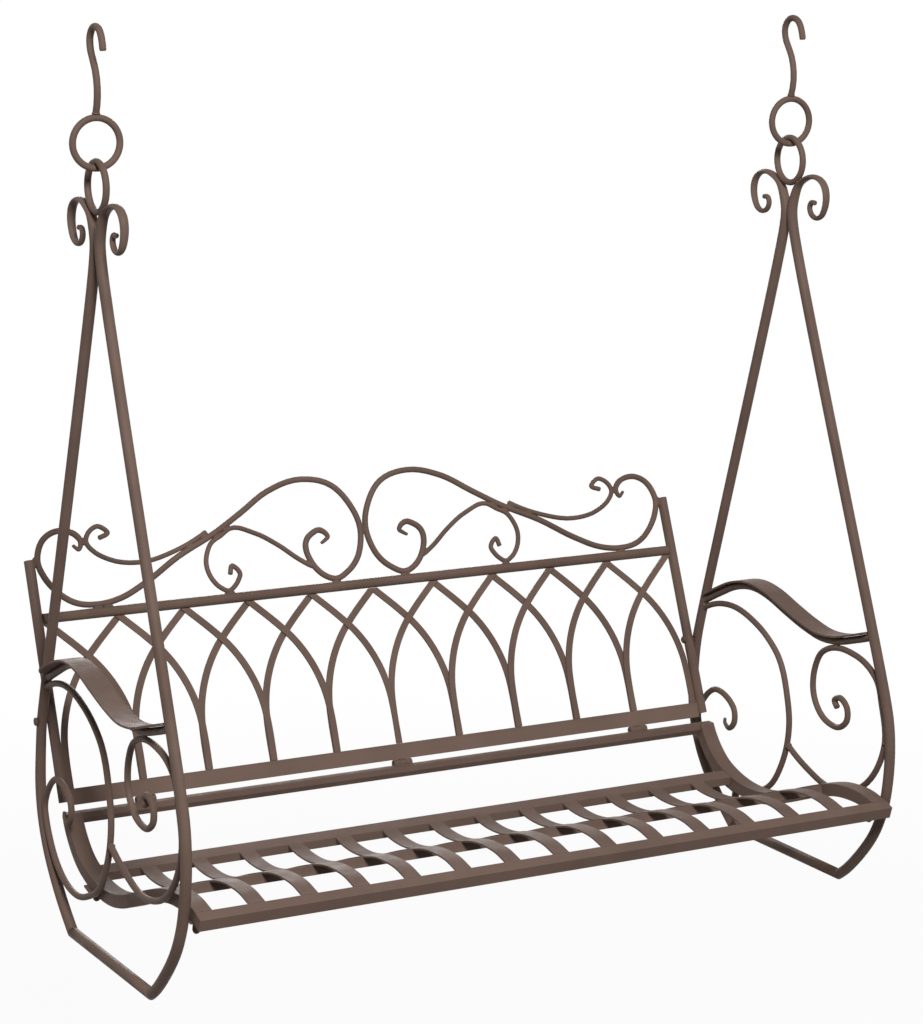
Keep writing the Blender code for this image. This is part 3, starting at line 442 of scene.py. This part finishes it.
def beyond_end(end, inner, innermost):
    """The point past the end of a line that keeps its turn."""
    chord, following = inner - end, innermost - inner
    return end - (chord.normalized() * 2 * following.dot(chord.normalized()) - following)


def finer_line(line):
    """A smooth curve through the points of a line."""
    knots = [beyond_end(*line[:3]), *line, beyond_end(*line[:-4:-1])]
    fine = []
    for first, start, end, last in zip(knots, knots[1:], knots[2:], knots[3:]):
        fine += [curve_point(first, start, end, last, step / SWEPT_CUTS)
                 for step in range(SWEPT_CUTS)]
    return fine + [line[-1].copy()]


# Swept rods

def join_rings(shape, rings):
    """Make the faces between neighbouring rings of a round body."""
    for ring, following in zip(rings, rings[1:]):
        for step in range(len(ring)):
            beside = (step + 1) % len(ring)
            shape.faces.new((ring[step], ring[beside], following[beside], following[step]))


def tapers_off(name, first, second, third, fourth):
    """Whether a rod gets thinner at its end: it is of that kind, curled there and free."""
    is_curled = (second - first).angle(fourth - third, 0) > CURLED_ANGLE
    return name.startswith(TAPERED) and is_curled and touching_end(name, first) is None


def rounded_tip(place, width, outward):
    """The places and widths of a softly rounded tip, from its full width outwards."""
    return [(place + outward * width * (out - ROUNDED_TIP[-1][0]), width * share)
            for out, share in ROUNDED_TIP]


def stations_along(line, radius, tapers):
    """The places and widths of a rod along a line, thinner where an end tapers."""
    lengths = [0.0]
    for start, end in zip(line, line[1:]):
        lengths.append(lengths[-1] + (end - start).length)
    stations = []
    for place, length in zip(line, lengths):
        share = 1.0
        for taper, from_end in zip(tapers, (length, lengths[-1] - length)):
            if taper and from_end < TAPER_LENGTH:
                share = min(share, TAPER_SHARE + (1 - TAPER_SHARE) * from_end / TAPER_LENGTH)
        stations.append((place, radius * share))
    first_tip = rounded_tip(*stations[0], (line[0] - line[1]).normalized())
    last_tip = rounded_tip(*stations[-1], (line[-1] - line[-2]).normalized())
    return first_tip[::-1] + stations[1:-1] + last_tip


def swept(stations):
    """A round rod through the stations, with its rings turned as little as possible."""
    shape = bmesh.new()
    angles = [math.tau * step / SWEPT_SIDES for step in range(SWEPT_SIDES)]
    side = (stations[1][0] - stations[0][0]).normalized().orthogonal()
    rings = []
    for index, (place, width) in enumerate(stations):
        before = stations[max(index - 1, 0)][0]
        after = stations[min(index + 1, len(stations) - 1)][0]
        along = (after - before).normalized()
        side = (side - along * side.dot(along)).normalized()
        up = along.cross(side)
        rings.append([shape.verts.new(place + (side * math.cos(angle) + up * math.sin(angle)) * width)
                      for angle in angles])
    join_rings(shape, rings)
    shape.faces.new(reversed(rings[0]))
    shape.faces.new(rings[-1])
    bmesh.ops.recalc_face_normals(shape, faces=shape.faces)
    return shape


# Subdivided rods

def swell(shape, amount):
    """Move the sides of a tube outwards, so that it keeps its radius when it is subdivided."""
    moves = {}
    for vertex in shape.verts:
        normal = Vector((0, 0, 0))
        for face in vertex.link_faces:
            if not is_end(face):
                normal += face.normal
        if normal.length > 0:
            moves[vertex] = normal.normalized() * amount
    for vertex, move in moves.items():
        vertex.co += move


def crease_sharp(shape):
    crease = shape.edges.layers.float.new("crease_edge")
    for edge in shape.edges:
        if edge.calc_face_angle(0) > CREASE_ANGLE:
            edge[crease] = 1.0


def subdivide(piece):
    smooth = piece.modifiers.new("smooth", "SUBSURF")
    smooth.levels = SMOOTH_LEVELS
    smooth.render_levels = SMOOTH_LEVELS


# Strips and bars

def straight_on(edge, corner, sharp):
    """The turn to the next corner along a bent edge, and that corner, or None where it ends."""
    here = corner.co - edge.other_vert(corner).co
    best = None
    for following in corner.link_edges:
        if following is edge or following not in sharp:
            continue
        there = following.other_vert(corner)
        angle = here.angle(there.co - corner.co, 0)
        if angle < BEND_ANGLE and (best is None or angle < best[0]):
            best = (angle, there)
    return best


def bend_edges(shape):
    """Divide the edges of bent strips, and move the new points onto smooth curves."""
    sharp = {edge for edge in shape.edges if edge.calc_face_angle(0) > SHARP_ANGLE}
    bent, moves = [], {}
    for edge in [edge for edge in shape.edges if edge in sharp]:
        start, end = edge.verts
        before = straight_on(edge, start, sharp)
        after = straight_on(edge, end, sharp)
        turns = [found[0] for found in (before, after) if found]
        if not turns or max(turns) < FLAT_ANGLE:
            continue
        first = before[1].co if before else start.co * 2 - end.co
        last = after[1].co if after else end.co * 2 - start.co
        bent.append(edge)
        for step in range(1, BEND_CUTS + 1):
            share = step / (BEND_CUTS + 1)
            moves[place_key(start.co.lerp(end.co, share))] = curve_point(
                first, start.co, end.co, last, share)
    made = bmesh.ops.subdivide_edges(shape, edges=bent, cuts=BEND_CUTS, use_grid_fill=True)
    for item in made["geom_inner"]:
        if isinstance(item, bmesh.types.BMVert) and place_key(item.co) in moves:
            item.co = moves[place_key(item.co)]


def undercut(shape):
    """Lean the lower half of a rail's front face backwards."""
    front = min(vertex.co.y for vertex in shape.verts)
    heights = [vertex.co.z for vertex in shape.verts if vertex.co.y < front + WELD_DISTANCE]
    low, middle = min(heights), (min(heights) + max(heights)) / 2
    bmesh.ops.bisect_plane(shape, geom=shape.verts[:] + shape.edges[:] + shape.faces[:],
                           plane_co=(0, 0, middle), plane_no=(0, 0, 1))
    for vertex in shape.verts:
        if vertex.co.y < front + WELD_DISTANCE and vertex.co.z < low + WELD_DISTANCE:
            vertex.co.y += UNDERCUT


def round_edges(piece):
    piece.data.set_sharp_from_angle(angle=SHARP_ANGLE)
    edge = piece.modifiers.new("edge", "BEVEL")
    edge.width = EDGE_RADIUS
    edge.segments = EDGE_SEGMENTS
    edge.limit_method = "ANGLE"
    edge.angle_limit = SHARP_ANGLE
    edge.harden_normals = True


# Finer copies of the nodes

def piece_from(name):
    """A finer copy of a node, which stands for it on its body."""
    mesh = frame["nodes"][name].data
    is_swept = name.startswith(SWEPT)
    shape = tube_of(mesh) if is_swept else flat_faced(mesh)
    radius = rod_radius(name)
    if radius:
        close_ends(shape, name)
    line = centre_line(shape) if is_swept else None
    if line:
        shape.free()
        tapers = [tapers_off(name, *end) for end in (line[:4], line[:-5:-1])]
        shape = swept(stations_along(finer_line(line), radius, tapers))
    elif radius:
        bmesh.ops.join_triangles(shape, faces=shape.faces[:],
                                 angle_face_threshold=JOINED_FACE_ANGLE,
                                 angle_shape_threshold=JOINED_SHAPE_ANGLE)
        swell(shape, radius * (1 / TUBE_SHRINK - 1))
        crease_sharp(shape)
    else:
        bend_edges(shape)
        if name == "seat_rear_rail":
            undercut(shape)
    piece = object_from(shape, name + "_fine")
    if line:
        piece.data.set_sharp_from_angle(angle=CREASE_ANGLE)
    elif radius:
        subdivide(piece)
    else:
        round_edges(piece)
    return place_piece(piece, body_of(name), SLOTS[name], name)


for node_name in sorted(frame["nodes"]):
    if not node_name.startswith("back_bolt"):
        pieces[node_name] = piece_from(node_name)


# Bolts of the back: a flat head outside the left hanger, a cap nut inside the right post

def turned_piece(name, profile, axis_place):
    """A body of revolution about X, from places along it and radii, closed on its axis."""
    shape = bmesh.new()
    angles = [math.tau * step / TURNED_STEPS for step in range(TURNED_STEPS)]
    rings = [[shape.verts.new((x, axis_place.y + radius * math.sin(angle),
                               axis_place.z + radius * math.cos(angle))) for angle in angles]
             for x, radius in profile[1:-1]]
    join_rings(shape, rings)
    for ring, x in ((rings[0], profile[0][0]), (rings[-1], profile[-1][0])):
        tip = shape.verts.new((x, axis_place.y, axis_place.z))
        for start, end in zip(ring, ring[1:] + ring[:1]):
            shape.faces.new((start, end, tip))
    bmesh.ops.recalc_face_normals(shape, faces=shape.faces)
    piece = object_from(shape, name + "_fine")
    piece.data.set_sharp_from_angle(angle=SHARP_ANGLE)
    return place_piece(piece, body_of(name), SLOTS[name], name)


def flat_headed_bolt(name, hanger, post):
    """Its head lies on the outside of the hanger, and its end is in the middle of the post."""
    low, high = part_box(name)
    radius = (high.z - low.z) / 2
    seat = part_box(hanger)[0].x
    tip = seat - FLAT_HEAD_LENGTH
    end = sum(corner.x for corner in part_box(post)) / 2
    turned_piece(name, [
        (tip, 0),
        (tip, radius - HEAD_ROUNDING),
        (tip + HEAD_ROUNDING * ROUNDING_MIDDLE, radius - HEAD_ROUNDING * ROUNDING_MIDDLE),
        (tip + HEAD_ROUNDING, radius),
        (seat, radius),
        (seat, radius * SHANK_SHARE),
        (end, radius * SHANK_SHARE),
        (end, 0),
    ], (low + high) / 2)


def cap_nut_bolt(name, hanger, post):
    """Its cap nut lies on the inside of the post, and its end is in the middle of the hanger."""
    low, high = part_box(name)
    radius = (high.z - low.z) / 2
    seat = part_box(post)[0].x
    end = sum(corner.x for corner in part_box(hanger)) / 2
    dome = (seat - low.x) * DOME_LENGTH_SHARE
    profile = []
    for step in range(DOME_STEPS + 1):
        angle = math.radians(90) * step / DOME_STEPS
        profile.append((low.x + dome * (1 - math.cos(angle)),
                        DOME_WIDTH_SHARE * radius * math.sin(angle)))
    profile += [(low.x + dome, radius), (seat, radius), (seat, radius * SHANK_SHARE),
                (end, radius * SHANK_SHARE), (end, 0)]
    turned_piece(name, profile, (low + high) / 2)


flat_headed_bolt("back_bolt_left", "rear_hanger_left", "back_post_left")
cap_nut_bolt("back_bolt_right", "rear_hanger_right", "back_post_right")


# Weld beads

def bead(shape, place, along, length, width):
    """Add one bead to a mesh: a low mound with a slightly uneven skin."""
    turn = along.to_track_quat("Z", "Y").to_matrix().to_4x4()
    made = bmesh.ops.create_icosphere(shape, subdivisions=BEAD_SUBDIVISIONS, radius=1)
    for vertex in made["verts"]:
        wave = 1 + BEAD_WAVE * noise.noise(vertex.co * BEAD_WAVE_SCALE + place * BEAD_WAVE_SPREAD)
        vertex.co = Vector((vertex.co.x * width, vertex.co.y * width,
                            vertex.co.z * length)) * wave
    bmesh.ops.transform(shape, matrix=Matrix.Translation(place) @ turn, verts=made["verts"])


def touches(name, neighbour, depsgraph):
    """Where a bent rod lies against its neighbour: the middle and direction of each touch."""
    tree = BVHTree.FromObject(pieces[neighbour], depsgraph)
    groups = []
    for vertex in pieces[name].evaluated_get(depsgraph).data.vertices:
        found = tree.find_nearest(vertex.co, TOUCH_REACH)[0]
        if found is None:
            continue
        point = (vertex.co + found) / 2
        near = [group for group in groups if (group[0] - point).length < BEAD_SPREAD]
        if near:
            near[0].append(point)
        else:
            groups.append([point])
    for group in groups:
        middle = sum(group, Vector((0, 0, 0))) / len(group)
        far = max(group, key=lambda point: (point - middle).length)
        yield middle, (far - middle).normalized() if len(group) > 1 else Vector((1, 0, 0))


def welds():
    """The beads of each body, as one piece."""
    shapes = defaultdict(bmesh.new)
    for name, middle, normal, radius in welded_ends:
        bead(shapes[body_of(name)], middle, normal, END_BEAD_LENGTH, radius * END_BEAD_SHARE)
    bpy.context.view_layer.update()
    depsgraph = bpy.context.evaluated_depsgraph_get()
    for name, neighbour in TOUCHING:
        for middle, along in touches(name, neighbour, depsgraph):
            bead(shapes[body_of(name)], middle, along, SIDE_BEAD_LENGTH, SIDE_BEAD_WIDTH)
    for body, shape in shapes.items():
        place_piece(object_from(shape, "welds_" + body), body, "coated_rod")


welds()


# Floor, background and light

def white_for_camera(nodes, links, white_share):
    """A factor that is the share of white for the camera and for gloss, and 0 for other rays."""
    path = nodes.new("ShaderNodeLightPath")
    seen = nodes.new("ShaderNodeMath")
    seen.operation = "MAXIMUM"
    links.new(path.outputs["Is Camera Ray"], seen.inputs[0])
    links.new(path.outputs["Is Glossy Ray"], seen.inputs[1])
    share = nodes.new("ShaderNodeMath")
    share.operation = "MULTIPLY"
    links.new(seen.outputs["Value"], share.inputs[0])
    if white_share is None:
        share.inputs[1].default_value = 1.0
    else:
        links.new(white_share, share.inputs[1])
    return share.outputs["Value"]


def pale_floor():
    """A pale floor that keeps a faint shadow near the object and is plain white far from it."""
    made = bpy.data.materials.new("floor_pale")
    made.use_nodes = True
    nodes, links = made.node_tree.nodes, made.node_tree.links
    nodes.clear()
    output = nodes.new("ShaderNodeOutputMaterial")
    diffuse = nodes.new("ShaderNodeBsdfDiffuse")
    diffuse.inputs["Color"].default_value = (FLOOR_SHADE, FLOOR_SHADE, FLOOR_SHADE, 1)
    white = nodes.new("ShaderNodeEmission")
    white.inputs["Strength"].default_value = WHITE_STRENGTH
    coordinates = nodes.new("ShaderNodeTexCoord")
    reach = nodes.new("ShaderNodeVectorMath")
    reach.operation = "LENGTH"
    links.new(coordinates.outputs["Object"], reach.inputs[0])
    fade = nodes.new("ShaderNodeMapRange")
    fade.interpolation_type = "SMOOTHSTEP"
    fade.inputs["From Min"].default_value = FADE_START
    fade.inputs["From Max"].default_value = FADE_END
    fade.inputs["To Min"].default_value = FLOOR_WHITE_SHARE
    fade.inputs["To Max"].default_value = 1.0
    links.new(reach.outputs["Value"], fade.inputs["Value"])
    mix = nodes.new("ShaderNodeMixShader")
    links.new(white_for_camera(nodes, links, fade.outputs["Result"]), mix.inputs["Fac"])
    links.new(diffuse.outputs["BSDF"], mix.inputs[1])
    links.new(white.outputs["Emission"], mix.inputs[2])
    links.new(mix.outputs["Shader"], output.inputs["Surface"])
    return made


def studio_floor():
    floor_level = cad_box[0].z - FLOOR_DROP
    bpy.ops.mesh.primitive_grid_add(x_subdivisions=FLOOR_CUTS, y_subdivisions=FLOOR_CUTS,
                                    size=FLOOR_SIZE, location=(0, 0, floor_level))
    floor = bpy.context.object
    floor.name = "floor"
    floor.data.materials.append(pale_floor())


def background(nodes, strength):
    made = nodes.new("ShaderNodeBackground")
    made.inputs["Color"].default_value = (1, 1, 1, 1)
    made.inputs["Strength"].default_value = strength
    return made


def studio_world():
    """A faint even light on the object, which the camera sees as white."""
    world = bpy.data.worlds.new("studio")
    bpy.context.scene.world = world
    world.use_nodes = True
    nodes, links = world.node_tree.nodes, world.node_tree.links
    nodes.clear()
    output = nodes.new("ShaderNodeOutputWorld")
    ambient = background(nodes, AMBIENT)
    white = background(nodes, WHITE_STRENGTH)
    mix = nodes.new("ShaderNodeMixShader")
    links.new(white_for_camera(nodes, links, None), mix.inputs["Fac"])
    links.new(ambient.outputs["Background"], mix.inputs[1])
    links.new(white.outputs["Background"], mix.inputs[2])
    links.new(mix.outputs["Shader"], output.inputs["Surface"])


def area_light(name, place, size, power):
    data = bpy.data.lights.new(name, "AREA")
    data.shape = "DISK"
    data.size = size
    data.energy = power
    lamp = bpy.data.objects.new(name, data)
    lamp.location = place
    lamp.rotation_mode = "QUATERNION"
    lamp.rotation_quaternion = (Vector(LAMP_TARGET) - Vector(place)).to_track_quat("-Z", "Y")
    bpy.context.scene.collection.objects.link(lamp)


def photo_camera():
    """The camera looks down along its azimuth, with its optical centre above the middle."""
    data = bpy.data.cameras.new("photo_camera")
    data.sensor_fit = "HORIZONTAL"
    data.sensor_width = SENSOR
    data.lens = SENSOR * FOCAL_PIXELS / PHOTO_WIDTH
    data.shift_y = -(PHOTO_HEIGHT / 2 - CENTRE_ROW) / PHOTO_WIDTH
    camera = bpy.data.objects.new("photo_camera", data)
    camera.matrix_world = (Matrix.Translation(CAMERA_PLACE)
                           @ Matrix.Rotation(-CAMERA_AZIMUTH, 4, "Z")
                           @ Matrix.Rotation(math.radians(90) + CAMERA_PITCH, 4, "X")
                           @ Matrix.Rotation(CAMERA_ROLL, 4, "Z"))
    bpy.context.scene.collection.objects.link(camera)
    bpy.context.scene.camera = camera


studio_floor()
studio_world()
for lamp_look in LAMPS:
    area_light(*lamp_look)
photo_camera()
bpy.context.scene.view_settings.view_transform = "Standard"
